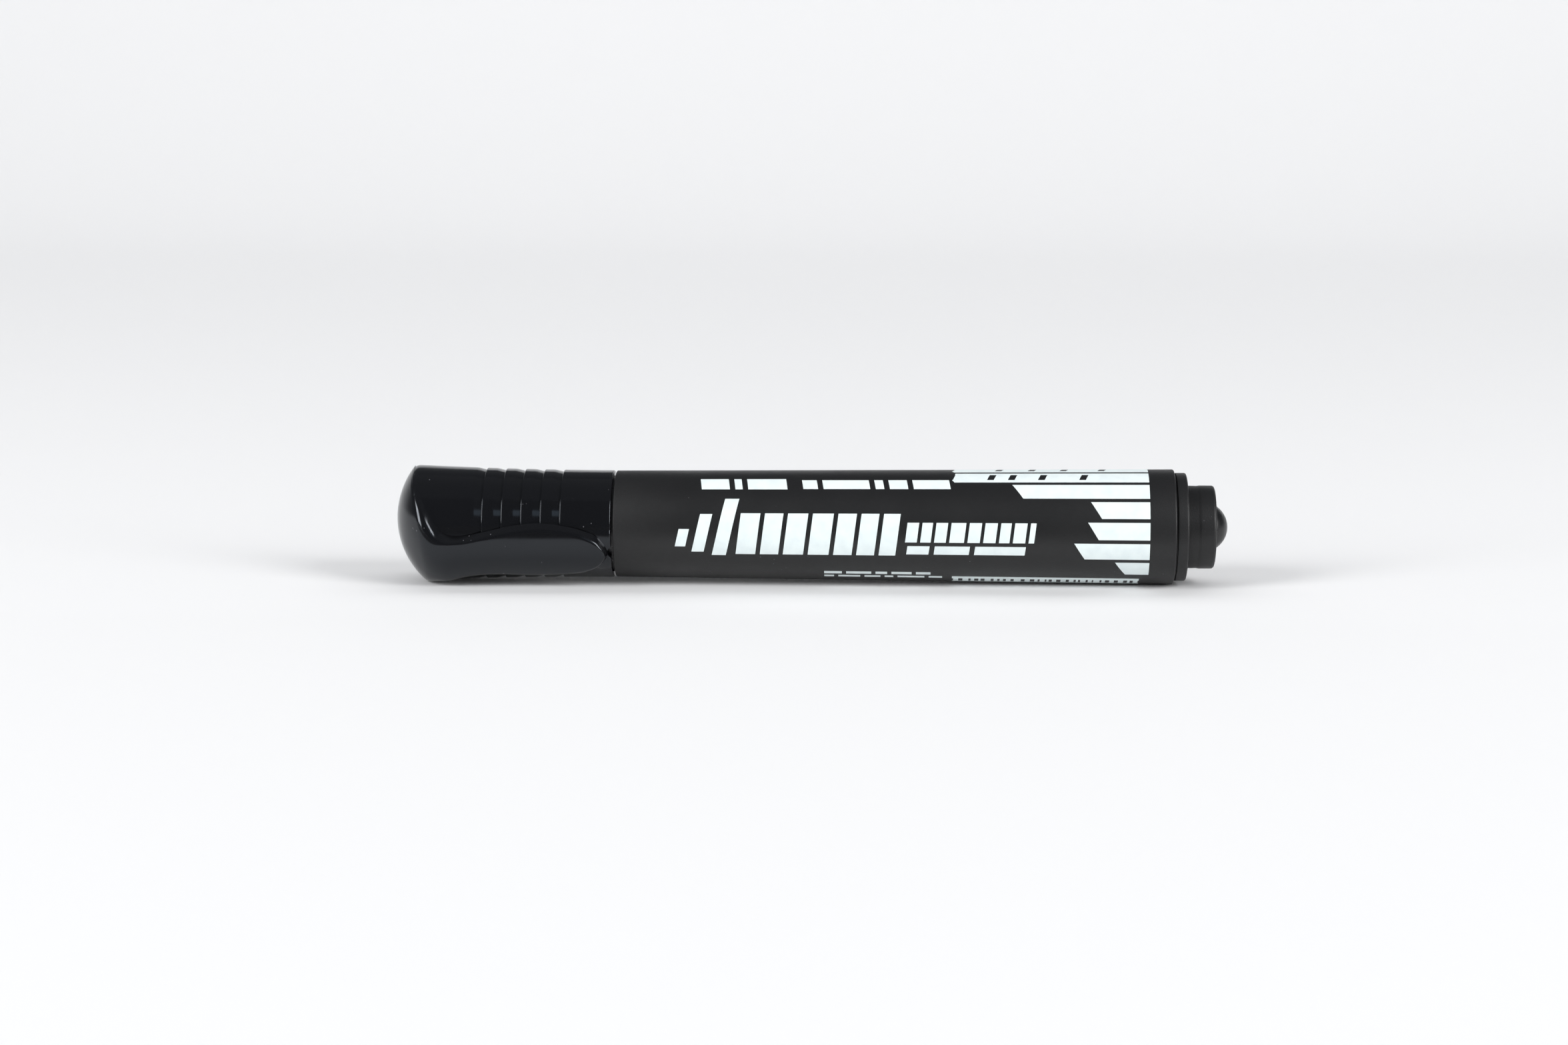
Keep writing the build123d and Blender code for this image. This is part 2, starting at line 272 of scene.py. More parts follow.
def cap_radius(at):
    """Radius of the plain tube, which widens a little towards the closed end."""
    share = (MOUTH_AT - at) / (MOUTH_AT - SHOULDER_AT)
    return MOUTH_RADIUS + (SHOULDER_RADIUS - MOUTH_RADIUS) * share**2


def face_radius(at):
    return hermite(at, FACE_AT, FACE_RADIUS, flat_start=True, flat_end=True)


def foot_radius(at):
    """Where the side wall of the hood and the clip ends: in the tube, then at the clip's underside."""
    free = smoothstep(at, 10.8, 12.2)
    under = CLIP_UNDER - (CLIP_UNDER - CLIP_BEAD) * smoothstep(at, 31.4, 33.2)
    return (cap_radius(at) - 0.08) * (1 - free) + under * free


def dome(at, out, side):
    """Negative inside the half ellipsoid that rounds the closed end, about in mm."""
    a = np.minimum(at - DOME_HALF_LENGTH, 0) / DOME_HALF_LENGTH
    b = (out + DOME_OFFSET) / DOME_HALF_LENGTH
    c = (side - DOME_LIFT) / DOME_HALF_WIDTH
    return (np.sqrt(a * a + b * b + c * c) - 1) * DOME_HALF_WIDTH


def strap_edge(points):
    """One side of the outline: its points, the index of the clip's tip, its runs and their normals."""
    line = smooth_path(points, 500)
    tip = int(np.argmin(np.abs(line[:, 1]) + 10 * (line[:, 0] < 30)))
    run = np.diff(line, axis=0)
    normal = np.stack([-run[:, 1], run[:, 0]], axis=-1)
    return line, tip, run, normal / np.linalg.norm(normal, axis=1)[:, None]


EDGES = {1: strap_edge(UPPER), -1: strap_edge(LOWER)}


def outline_distance(at, side):
    """Distance from the outline on the same side, negative inside it."""
    result = np.empty(at.shape)
    for sign, (line, _, run, normal) in EDGES.items():
        mask = side >= 0 if sign > 0 else side < 0
        mask_at, mask_side = at[mask], np.abs(side[mask])
        found = np.empty(len(mask_at))
        for first in range(0, len(mask_at), 4000):
            part = slice(first, first + 4000)
            da = mask_at[part, None] - line[None, :-1, 0]
            db = mask_side[part, None] - line[None, :-1, 1]
            s = np.clip((da * run[:, 0] + db * run[:, 1]) / (run**2).sum(axis=1), 0, 1)
            ra, rb = da - s * run[:, 0], db - s * run[:, 1]
            k = np.argmin(ra * ra + rb * rb, axis=1)
            pick = np.arange(len(k))
            outside = np.sign(da[pick, k] * normal[k, 0] + db[pick, k] * normal[k, 1])
            found[part] = np.hypot(ra[pick, k], rb[pick, k]) * outside
        result[mask] = found
    return result


def hood(at, out, side):
    """Negative inside the hood, clip and dome."""
    radius = np.hypot(out, side)
    over_face = radius - face_radius(at)
    height = face_radius(at) - foot_radius(at)
    lean = hermite(at, WALL_AT, WALL_LEAN)
    past_foot = outline_distance(at, side)
    wall = (over_face * lean + past_foot * height + lean * height) / np.hypot(height, lean)
    edge = 0.28 + 0.92 * (1 - smoothstep(at, 6.0, 9.5))
    strap = smooth_max(over_face, wall, edge)
    tube = radius - (cap_radius(at) - TUBE_CLEARANCE)
    return smooth_max(dome(at, out, side), np.minimum(strap, tube), 1.3)


# Rays: straight out from the axis past RAY_FROM, and fanned out from one point before it
RAY_FROM = DOME_HALF_LENGTH
RAY_SPREAD = 12.0
POLE = RAY_FROM - RAY_SPREAD * math.pi / 2
NEAREST, FARTHEST = 5.0, 15.5


def ray_point(along, angle, reach):
    """Station, and distances towards the clip and to its side, of points along the rays."""
    fan = np.clip(math.pi / 2 - (RAY_FROM - along) / RAY_SPREAD, 0, math.pi / 2)
    fan = np.where(along >= RAY_FROM, math.pi / 2, fan)
    at = np.maximum(along, RAY_FROM) - reach * np.cos(fan)
    return at, reach * np.sin(fan) * np.cos(angle), reach * np.sin(fan) * np.sin(angle)


def ray_of(at, radius):
    """How far along the fan of rays the ray through (at, radius) starts."""
    fan = np.arctan2(radius, RAY_FROM - at)
    return np.where(at >= RAY_FROM, at, RAY_FROM - RAY_SPREAD * (math.pi / 2 - fan))


def solve(field, low, high, turns=21):
    """Where field(x) crosses zero between the arrays low and high."""
    low, high = low.copy(), high.copy()
    for _ in range(turns):
        middle = (low + high) / 2
        inside = field(middle) < 0
        low, high = np.where(inside, middle, low), np.where(inside, high, middle)
    return (low + high) / 2


def shoulder_at(angle):
    """Station where the dome meets the tube, for each angle."""
    return solve(
        lambda at: -dome(at, cap_radius(at) * np.cos(angle), cap_radius(at) * np.sin(angle)),
        0 * angle + 0.5,
        0 * angle + 9.0,
    )


def hood_boundary(sign):
    """Edge of half the piece as (x, y) about the pole, from the back round the shoulder to the tip."""
    line, tip, _, _ = EDGES[sign]
    foot = line[: tip + 1].copy()
    foot[-1] = (CLIP_TIP_AT, 0)
    foot_r = foot_radius(foot[:, 0])
    keep = foot[:, 1] < foot_r * 0.995
    foot, foot_r = foot[keep], foot_r[keep]
    foot_angle = np.arcsin(foot[:, 1] / foot_r)
    inside = dome(foot[:, 0], foot_r * np.cos(foot_angle), sign * foot[:, 1]) < -0.02
    first = int(np.argmax(inside))
    foot, foot_r, foot_angle = foot[first:], foot_r[first:], foot_angle[first:]
    length = np.concatenate([[0], np.cumsum(np.hypot(*np.diff(foot, axis=0).T))])
    share = np.linspace(0, 1, EDGE_POINTS)
    share = share - 0.10 * np.sin(2 * math.pi * share) / (2 * math.pi)
    at_length = share * length[-1]
    strap_angle = np.interp(at_length, length, foot_angle)
    strap_ray = ray_of(np.interp(at_length, length, foot[:, 0]), np.interp(at_length, length, foot_r))

    back_angle = np.linspace(math.pi, strap_angle[0], SHOULDER_POINTS)[:-1]
    back_at = shoulder_at(sign * back_angle) - 0.16
    back_ray = ray_of(back_at, cap_radius(back_at) - TUBE_CLEARANCE)
    blend_in = smoothstep(back_angle, strap_angle[0], strap_angle[0] + 0.25)
    back_ray = strap_ray[0] * (1 - blend_in) + back_ray * blend_in

    edge_ray = np.concatenate([back_ray, strap_ray]) - POLE
    edge_angle = np.concatenate([back_angle, strap_angle])
    return edge_ray * np.cos(edge_angle), edge_ray * np.sin(edge_angle), len(back_angle)


def make_hood():
    """Hood, clip and dome as one skin: two halves that meet along the middle of the clip and the back."""
    boundaries = {sign: hood_boundary(sign) for sign in (1, -1)}
    middle_x = (boundaries[1][0] + boundaries[-1][0]) / 2
    spine = np.clip(middle_x, 0, middle_x[-1] - 1.6)
    grids = []
    for sign, (x, y, back_count) in boundaries.items():
        # Rows: close together over the side wall and its upper edge, then wider to the middle
        reach = np.hypot(x - spine, y)
        lean = hermite(np.hypot(x, y) + POLE, WALL_AT, WALL_LEAN)
        wall = np.clip(lean / np.maximum(reach * 0.62, 0.3), 0.02, 0.42)[None, :]
        near = np.concatenate([np.linspace(0, 0.7, 7), np.linspace(0.78, 2.2, 17)])[:, None]
        rows_near = near * wall
        far = np.linspace(0, 1, 27)[1:, None] ** 0.9
        rows = np.concatenate([rows_near, rows_near[-1:] + (1 - rows_near[-1:]) * far])
        px = (1 - rows) * x + rows * spine
        py = (1 - rows) * y
        along, angle = np.hypot(px, py) + POLE, np.arctan2(py, px)

        def field(reach, along=along, angle=angle, sign=sign):
            at, out, side = ray_point(along, angle, reach)
            return hood(at, out, sign * side)

        outer = solve(field, 0 * along + NEAREST, 0 * along + FARTHEST)
        strapped = (np.arange(len(x)) >= back_count)[None, :]
        free = smoothstep(along, 9.3, 11.0)
        # The underside, from the foot in to the middle
        pick = [0, 2, 4, 6, 12, 20, 26, 32, 38, 44, len(rows) - 1]
        skin = HOOD_SKIN * smoothstep(rows, 0, 0.05)
        under = (outer - skin) * (1 - free) + foot_radius(along) * free
        under = np.where(strapped, np.minimum(under, outer), outer - skin)[pick]
        for at, out, side in (ray_point(along, angle, outer), ray_point(along[pick], angle[pick], under)):
            grids.append((place(at, out, sign * side), False, False))
    return build("hood_and_clip", grids, sharp=50, merge=1e-6)


CAP_INNER_RADIUS = 7.60
MOUTH_INNER_RADIUS = 7.95
CAP_INNER_END = 4.4


def make_tube():
    """The cap's tube with its grip grooves, small notch and inner wall, one row of points per ring."""
    # Columns closer together towards the clip
    turn = np.linspace(-math.pi, math.pi, 320, endpoint=False)
    turn = turn - 0.4 * np.sin(turn)
    away = smoothstep(np.abs(turn), math.radians(60), math.radians(115))
    start = shoulder_at(turn) - 0.22 - 0.4 * away
    smooth_from = 7.0
    rows_at, rows_r = [], []

    # Outer wall from the shoulder, with its small rounding
    for share in np.linspace(0, 1, 26) ** 1.7:
        at = start + (smooth_from - start) * share

        def field(radius, at=at):
            out, side = radius * np.cos(turn), radius * np.sin(turn)
            return smooth_max(dome(at, out, side), radius - cap_radius(at), 0.35 + 0.45 * away)

        rows_at.append(at)
        rows_r.append(solve(field, 0 * turn + 4, 0 * turn + 12))

    # Grip grooves and the mouth
    first, pitch, depth, run, count = 15.04, 3.19, 0.35, 1.5, 5
    corners = [(smooth_from, 0, 0), (8.5, 0, 0), (10.5, 0, 0), (12.4, 0, 0)]
    for k in range(count):
        step = first + pitch * k
        corners += [(step - run, 0, 2.5), (step - 0.02, -depth, 0.07), (step + 0.03, 0, 0.13)]
    corners += [(30.5, 0, 0), (32.5, 0, 0), (33.6, 0, 0), (34.6, 0, 0), (35.3, 0, 0)]
    outer = rounded(corners, step=math.radians(12))
    notch_side = MOUTH_RADIUS * np.abs(turn)
    notch_radius, notch_offset = 1.1, 0.55
    notch = np.sqrt(np.clip(notch_radius**2 - notch_side**2, 0, None)) - notch_offset
    notch = np.where(np.abs(turn) < 0.5, smooth_max(notch, 0 * notch, 0.25), 0)
    pad_across = 1 - smoothstep(np.abs(turn), 0.37, 0.44)

    def pulled(at):
        """Stations near the mouth, moved back in the small notch."""
        return at - notch * smoothstep(at, 34.4, MOUTH_AT - 0.2)

    def pad(at):
        """Height of the low pad behind the clip's tip."""
        return 0.24 * pad_across * smoothstep(at, 33.4, 34.9)

    for at, rise in outer[1:]:
        rows_at.append(pulled(at + 0 * turn))
        rows_r.append(cap_radius(at) + rise + pad(at))
    inner = rounded(
        [
            (35.3, MOUTH_RADIUS, 0),
            (MOUTH_AT, MOUTH_RADIUS, 0.25),
            (MOUTH_AT, MOUTH_INNER_RADIUS, 0.15),
            (26.5, MOUTH_INNER_RADIUS, 0.1),
            (26.5, CAP_INNER_RADIUS, 0.1),
            (21.1, CAP_INNER_RADIUS, 0),
            (20.5, CAP_INNER_RADIUS + 0.22, 0),
            (19.8, CAP_INNER_RADIUS, 0),
            (CAP_INNER_END, CAP_INNER_RADIUS, 0.8),
            (CAP_INNER_END, 0.0, 0),
        ]
    )
    for at, radius in inner[1:]:
        outside = smoothstep(radius, 8.1, 8.6)
        rows_at.append(pulled(at + 0 * turn) if at > 33 else at + 0 * turn)
        rows_r.append(radius + pad(at) * outside)
    end_at = CAP_INNER_END - 0.5
    rows_at.append(0 * turn + end_at)
    rows_r.append(0 * turn)
    for share in (0.5, 0.9):
        rows_at.append(end_at + (start + 0.3 - end_at) * share)
        rows_r.append((rows_r[0] - 0.5) * share)
    points = place_polar(np.array(rows_at), np.array(rows_r), turn[None, :])
    return build("cap_tube", [(points, True, True)], sharp=40)


hood_and_clip = make_hood()
cap_tube = make_tube()

# ---- round pieces --------------------------------------------------------------------------------
BARREL_FROM, BARREL_UNTIL = 36.5, 128.1
BARREL_FRONT, BARREL_REAR = 8.77, 9.45


def barrel_radius(at):
    return BARREL_FRONT + (BARREL_REAR - BARREL_FRONT) * (at - BARREL_FROM) / (BARREL_UNTIL - BARREL_FROM)


barrel = lathe(
    "barrel_tube",
    [
        (BARREL_FROM, 7.45, 0.08),
        (BARREL_FROM, BARREL_FRONT, 0.14),
        (60.0, barrel_radius(60.0), 0),
        (90.0, barrel_radius(90.0), 0),
        (120.0, barrel_radius(120.0), 0),
        (BARREL_UNTIL, BARREL_REAR, 0.3),
        (BARREL_UNTIL, 8.10, 0.08),
        (119.0, 8.10, 0.05),
        (117.5, 8.08, 0),
        (44.5, 7.45, 0.05),
    ],
    segments=320,
    step=math.radians(7),
)
rear_plug = lathe(
    "rear_plug_and_post",
    [
        (119.0, 5.60, 0.1),
        (119.0, 7.70, 0.1),
        (119.8, 8.09, 0.1),
        (128.1, 8.09, 0),
        (128.12, 8.55, 0.02),
        (128.35, 8.55, 0.03),
        (128.35, 8.88, 0.1),
        (130.1, 8.88, 0.32),
        (130.1, 6.80, 0.22),
        (131.9, 6.76, 0.3),
        (132.3, 6.83, 0.3),
        (134.75, 6.82, 0.5),
        (134.75, 3.98, 0.1),
        (134.40, 3.95, 0.04),
        (134.40, 1.62, 0.04),
        (133.25, 1.62, 0.05),
        (133.25, 5.60, 0.4),
    ],
    segments=288,
    step=math.radians(9),
)
END_AT, BUTTON_AT, BUTTON_RADIUS = 137.0, 134.62, 3.75
BUTTON_STEPS = 14
button_rise = END_AT - BUTTON_AT
button_ball = (BUTTON_RADIUS**2 + button_rise**2) / (2 * button_rise)
button_sweep = math.asin(BUTTON_RADIUS / button_ball)
button_corners = [
    (131.6, 0.0, 0),
    (131.6, 1.6, 0.15),
    (134.42, 1.6, 0.05),
    (134.42, 3.68, 0.08),
    (BUTTON_AT, BUTTON_RADIUS, 0.05),
]
for k in range(1, BUTTON_STEPS + 1):
    sweep = button_sweep * (1 - k / BUTTON_STEPS)
    dome_at = END_AT - button_ball * (1 - math.cos(sweep))
    button_corners.append((dome_at, button_ball * math.sin(sweep), 0))
end_button = lathe("end_button_dome", button_corners, segments=160)

front_section = lathe(
    "front_section_moulding",
    [
        (15.4, 2.43, 0.08),
        (15.4, 3.70, 0.3),
        (16.1, 3.75, 0.3),
        (19.4, 6.64, 0.35),
        (27.2, 6.64, 0.15),
        (27.2, 7.50, 0.12),
        (28.0, 7.86, 0.25),
        (36.48, 7.86, 0.05),
        (36.5, 7.44, 0.03),
        (44.5, 7.44, 0.1),
        (44.5, 6.31, 0.1),
        (30.0, 6.31, 0.05),
        (30.0, 5.30, 0.05),
        (20.4, 5.30, 0.1),
        (20.4, 3.60, 0.1),
        (30.0, 3.60, 0.05),
        (30.0, 2.43, 0.05),
    ],
    segments=224,
)
cap_liner = lathe(
    "cap_liner_cup",
    [
        (4.6, 0.0, 0),
        (4.6, 7.52, 0.8),
        (19.9, 7.52, 0.2),
        (20.5, 7.74, 0.15),
        (21.1, 7.52, 0.2),
        (25.0, 7.52, 0.12),
        (25.0, 7.13, 0.1),
        (24.2, 6.73, 0.3),
        (5.5, 6.73, 0.7),
        (5.5, 0.0, 0),
    ],
    segments=224,
)


def make_nib():
    """A felt rod thinned by two flats to a slanted edge, all its edges worn round."""
    turn = np.linspace(0, 2 * math.pi, 128, endpoint=False)
    radius, tip_at, tip_slant, flat_until, edge_half = 2.39, 10.2, 2.8, 15.0, 0.95
    taper, worn = 8.0, 0.45
    stations = np.concatenate([np.linspace(0, 1, 60) ** 1.3 * taper, [12.0, 20.0, 30.0, 34.0, 34.4]])
    across = np.cos(turn)
    grids_at, grids_y, grids_z = [], [], []
    for s in stations:
        y0 = radius * across
        z0 = radius * np.sin(turn)
        lean = tip_slant * np.clip(1 - s / taper, 0, 1)
        at = tip_at + s + lean * (y0 / radius + 1) / 2
        limit = edge_half + (radius - edge_half) * np.clip((at - tip_at) / (flat_until - tip_at), 0, 1)
        z = np.sign(z0) * (limit - smooth_max(limit - np.abs(z0), 0 * z0, 0.35))
        z = np.where(at < flat_until, z, z0)
        round_off = np.sqrt(np.clip(1 - np.clip(1 - s / worn, 0, 1) ** 2, 0, 1))
        shrink = 1 - worn * (1 - round_off) / radius
        grids_at.append(at)
        grids_y.append(y0 * shrink)
        grids_z.append(z * (1 - worn * (1 - round_off)))
    for share in (0.92, 0.75, 0.5, 0.25, 0.0):
        lean = tip_slant * (grids_y[0] * share / radius + 1) / 2
        grids_at.insert(0, tip_at + lean)
        grids_y.insert(0, grids_y[0] * share)
        grids_z.insert(0, grids_z[0] * share)
    grids_at.append(grids_at[-1] + 0.9)
    grids_y.append(grids_y[-1] * 0.63)
    grids_z.append(grids_z[-1] * 0.63)
    grids_at.append(grids_at[-1])
    grids_y.append(grids_y[-1] * 0)
    grids_z.append(grids_z[-1] * 0)
    at, y, z = np.array(grids_at), np.array(grids_y), np.array(grids_z)
    points = np.stack([cad_low[0] + MM * at, axis_y + MM * y, axis_z + MM * z], axis=-1)
    return build("felt_nib", [(points, False, True)], sharp=60)


nib = make_nib()

# ---- print: thin raised ink on the barrel ----------------------------------------------------------
INK = 0.022
INK_ROOT = 0.03
ink_grids = []


def ink(at_a, at_b, angle_a, angle_b, slant=0.0, slant_end=0.0):
    """One patch of ink. Angles in degrees; slant moves its front end by mm from angle_a to angle_b."""
    count = max(2, math.ceil(abs(angle_b - angle_a) / 1.5) + 1)
    share = np.linspace(0, 1, count)[:, None]
    angle = np.radians(angle_a + (angle_b - angle_a) * share)
    left = at_a + slant * share
    right = at_b + slant_end * share
    cols = np.array([0, 0, 0.5, 1, 1])[None, :]
    at = left + (right - left) * cols
    lift = np.array([-INK_ROOT, INK, INK, INK, -INK_ROOT])[None, :] + 0 * share
    radius = barrel_radius(at) + lift
    radius = np.vstack([barrel_radius(at[:1]) - INK_ROOT, radius, barrel_radius(at[-1:]) - INK_ROOT])
    at = np.vstack([at[:1], at, at[-1:]])
    angle = np.vstack([angle[:1], angle, angle[-1:]])
    ink_grids.append((place_polar(at, radius, angle), False, False))


STRIPE_END = 123.75
STRIPE_PITCH = 21.2
STRIPE_WIDTH = 17.4
STRIPE_SLANT = 1.75
TOP_STRIPE = 90.9
# Where each stripe's slanted front end starts, from the one above the clip side downwards
for n, front in enumerate((101.5, 114.2, 113.7, 111.5, 118.2)):
    middle = TOP_STRIPE - STRIPE_PITCH * (n + 1)
    ink(front, STRIPE_END, middle + STRIPE_WIDTH / 2, middle - STRIPE_WIDTH / 2, slant=STRIPE_SLANT)
# The two highest stripes are broken up by short dark gaps between an upper and a lower border
BROKEN_FROM = 92.3
GAP_LENGTH, GAP_SLANT = 1.1, -0.5
UPPER_BORDER, LOWER_BORDER = 3.4, 4.0
for n, gaps in enumerate(((97.9, 101.3, 106.2, 112.9), (99.2, 104.6, 109.8, 116.0))):
    middle = TOP_STRIPE + STRIPE_PITCH * n
    top, low = middle + STRIPE_WIDTH / 2, middle - STRIPE_WIDTH / 2
    ink(BROKEN_FROM - 0.6, STRIPE_END, low + LOWER_BORDER, low, slant=0.4)
    ink(BROKEN_FROM, STRIPE_END, top, top - UPPER_BORDER, slant=-0.1)
    edges = [BROKEN_FROM] + [g for gap in gaps for g in (gap, gap + GAP_LENGTH)] + [STRIPE_END]
    for a, b in zip(edges[0::2], edges[1::2]):
        slant = GAP_SLANT if a > BROKEN_FROM else -0.45
        slant_end = GAP_SLANT if b < STRIPE_END else 0
        ink(a, b, top - UPPER_BORDER, low + LOWER_BORDER, slant=slant, slant_end=slant_end)

# Blocks that stand where lines of words would be: front, angles at the top and at the bottom, gap between
# blocks, slant, and the length of each block
for front, top, low, gap, slant, lengths in (
    (57.4, 44.0, -0.4, 0.75, -0.9, (3.2, 3.0, 3.3, 3.4, 3.0, 2.9, 2.7)),
    (84.5, 35.0, 14.6, 0.55, -0.4, (1.9, 1.7, 1.9, 2.4, 2.0, 2.0, 1.7, 2.0, 0.9)),
    (84.5, 10.6, 1.2, 0.85, -0.2, (3.6, 5.7, 8.2)),
    (50.6, 88.0, 72.0, 0.9, 0.3, (4.6, 1.2, 6.4)),
    (67.2, 86.0, 72.5, 0.9, 0.3, (2.4, 7.6, 1.4, 3.0, 6.0)),
    (70.9, -24.5, -29.0, 0.7, 0.0, (2.9, 4.1, 1.9, 3.3, 2.4)),
    (70.9, -32.5, -36.5, 0.7, 0.0, (1.6, 3.6, 2.6, 1.4, 4.4, 2.2)),
):
    at = front
    for length in lengths:
        ink(at, at + length, top, low, slant=slant, slant_end=slant)
        at += length + gap
# Three leaning strokes ahead of the large blocks
for front, width, top, low in ((46.6, 1.7, 27.0, 8.0), (49.3, 2.0, 43.0, 2.0), (52.6, 2.3, 60.0, -2.0)):
    lean = -1.6 * (top - low) / 45
    ink(front - lean, front - lean + width, top, low, slant=lean, slant_end=lean)
# A band of fine bars near the underside
BAND_FROM, BAND_UNTIL = 91.8, 122.3
BARS_TOP, BARS_LOW = -37.5, -47.0
ink(BAND_FROM, BAND_UNTIL, -32.5, BARS_TOP)
bar_at = BAND_FROM + 0.2
bar_rng = np.random.default_rng(7)
while bar_at < BAND_UNTIL - 0.8:
    bar = 0.35 + 0.8 * bar_rng.random()
    ink(bar_at, min(bar_at + bar, BAND_UNTIL), BARS_TOP, BARS_LOW)
    bar_at += bar + 0.25 + 0.5 * bar_rng.random()
ink(BAND_FROM, BAND_UNTIL, BARS_LOW, -49.5)
print_ink = build("barrel_print", ink_grids, sharp=40, merge=1e-9)

# ---- materials ---------------------------------------------------------------------------------------
colours = {m["slot"]: m["base_color"] for m in record["materials"]}


def material(name, slot, roughness, **sockets):
    mat = bpy.data.materials.new(name)
    mat.use_nodes = True
    shader = mat.node_tree.nodes["Principled BSDF"]
    colour = list(colours[slot])
    shader.inputs["Base Color"].default_value = colour[:3] + [1.0]
    shader.inputs["Roughness"].default_value = roughness
    for key, value in sockets.items():
        shader.inputs[key.replace("_", " ")].default_value = value
    return mat, mat.node_tree, shader


def node(tree, kind, **inputs):
    made = tree.nodes.new(kind)
    for key, value in inputs.items():
        made.inputs[key.replace("_", " ")].default_value = value
    return made


def matte(name, colour, roughness, level):
    """Plain dull surface for the stage."""
    mat = bpy.data.materials.new(name)
    mat.use_nodes = True
    shader = mat.node_tree.nodes["Principled BSDF"]
    shader.inputs["Base Color"].default_value = colour + (1,)
    shader.inputs["Roughness"].default_value = roughness
    shader.inputs["Specular IOR Level"].default_value = level
    return mat


def noise(tree, scale, detail=2.0, rough=0.5, stretch=None):
    """A noise texture in the object's own metres, stretched along the marker if asked."""
    where = tree.nodes.new("ShaderNodeTexCoord")
    made = node(tree, "ShaderNodeTexNoise", Scale=scale, Detail=detail, Roughness=rough)
    source = where.outputs["Object"]
    if stretch:
        mapping = node(tree, "ShaderNodeMapping", Scale=stretch)
        tree.links.new(source, mapping.inputs["Vector"])
        source = mapping.outputs["Vector"]
    tree.links.new(source, made.inputs["Vector"])
    return made


def ramp(tree, source, low, high, to_low, to_high):
    made = node(tree, "ShaderNodeMapRange")
    made.inputs["From Min"].default_value = low
    made.inputs["From Max"].default_value = high
    made.inputs["To Min"].default_value = to_low
    made.inputs["To Max"].default_value = to_high
    tree.links.new(source, made.inputs["Value"])
    return made.outputs["Result"]


def bump(tree, shader, layers):
    """Bumps from (height output, strength, distance in metres), one over the other."""
    last = None
    for height, strength, distance in layers:
        made = node(tree, "ShaderNodeBump", Strength=strength, Distance=distance)
        tree.links.new(height, made.inputs["Height"])
        if last:
            tree.links.new(last.outputs["Normal"], made.inputs["Normal"])
        last = made
    tree.links.new(last.outputs["Normal"], shader.inputs["Normal"])


def specks(tree, shader, slot, scale, size, colour, share):
    """A few light specks of dust over the base colour."""
    where = tree.nodes.new("ShaderNodeTexCoord")
    cells = node(tree, "ShaderNodeTexVoronoi", Scale=scale)
    tree.links.new(where.outputs["Object"], cells.inputs["Vector"])
    dot = ramp(tree, cells.outputs["Distance"], size * 0.6, size, 1.0, 0.0)
    patch = noise(tree, 260.0, 1.0)
    some = ramp(tree, patch.outputs["Fac"], share, share + 0.02, 0.0, 1.0)
    both = node(tree, "ShaderNodeMath")
    both.operation = "MULTIPLY"
    tree.links.new(dot, both.inputs[0])
    tree.links.new(some, both.inputs[1])
    mix = tree.nodes.new("ShaderNodeMix")
    mix.data_type = "RGBA"
    mix.inputs["A"].default_value = list(colours[slot][:3]) + [1.0]
    mix.inputs["B"].default_value = colour
    tree.links.new(both.outputs["Value"], mix.inputs["Factor"])
    tree.links.new(mix.outputs["Result"], shader.inputs["Base Color"])


def gloss_cap():
    tint = (0.86, 0.92, 1.0, 1.0)
    mat, tree, shader = material("cap_gloss", "cap_gloss_black", 0.13, Specular_Tint=tint)
    haze = noise(tree, 90.0, 4.0, 0.6)
    tree.links.new(ramp(tree, haze.outputs["Fac"], 0.35, 0.7, 0.10, 0.20), shader.inputs["Roughness"])
    peel = noise(tree, 420.0, 2.0)
    scratch = noise(tree, 900.0, 3.0, 0.7, stretch=(0.05, 1.0, 1.0))
    bump(
        tree,
        shader,
        [(peel.outputs["Fac"], 0.25, 0.000012), (scratch.outputs["Fac"], 0.2, 0.000004)],
    )
    specks(tree, shader, "cap_gloss_black", 900.0, 0.10, (0.12, 0.12, 0.13, 1.0), 0.62)
    return mat


def satin_barrel():
    mat, tree, shader = material("barrel_satin", "barrel_satin_black", 0.42)
    grain = noise(tree, 5200.0, 2.0, 0.6)
    wear = noise(tree, 140.0, 4.0, 0.6)
    # Rougher where hands and the cap rub: next to the cap and at the rear
    where = tree.nodes.new("ShaderNodeTexCoord")
    axes = tree.nodes.new("ShaderNodeSeparateXYZ")
    tree.links.new(where.outputs["Object"], axes.inputs["Vector"])
    total = ramp(tree, wear.outputs["Fac"], 0.35, 0.7, -0.02, 0.03)
    for start, end, at_start, at_end in ((36.5, 47.0, 0.56, 0.42), (104.0, 127.0, 0.0, 0.06)):
        zone_from, zone_until = cad_low[0] + MM * start, cad_low[0] + MM * end
        zone = ramp(tree, axes.outputs["X"], zone_from, zone_until, at_start, at_end)
        both = tree.nodes.new("ShaderNodeMath")
        tree.links.new(total, both.inputs[0])
        tree.links.new(zone, both.inputs[1])
        total = both.outputs["Value"]
    tree.links.new(total, shader.inputs["Roughness"])
    bump(tree, shader, [(grain.outputs["Fac"], 0.7, 0.00004)])
    specks(tree, shader, "barrel_satin_black", 1100.0, 0.10, (0.10, 0.10, 0.11, 1.0), 0.64)
    return mat


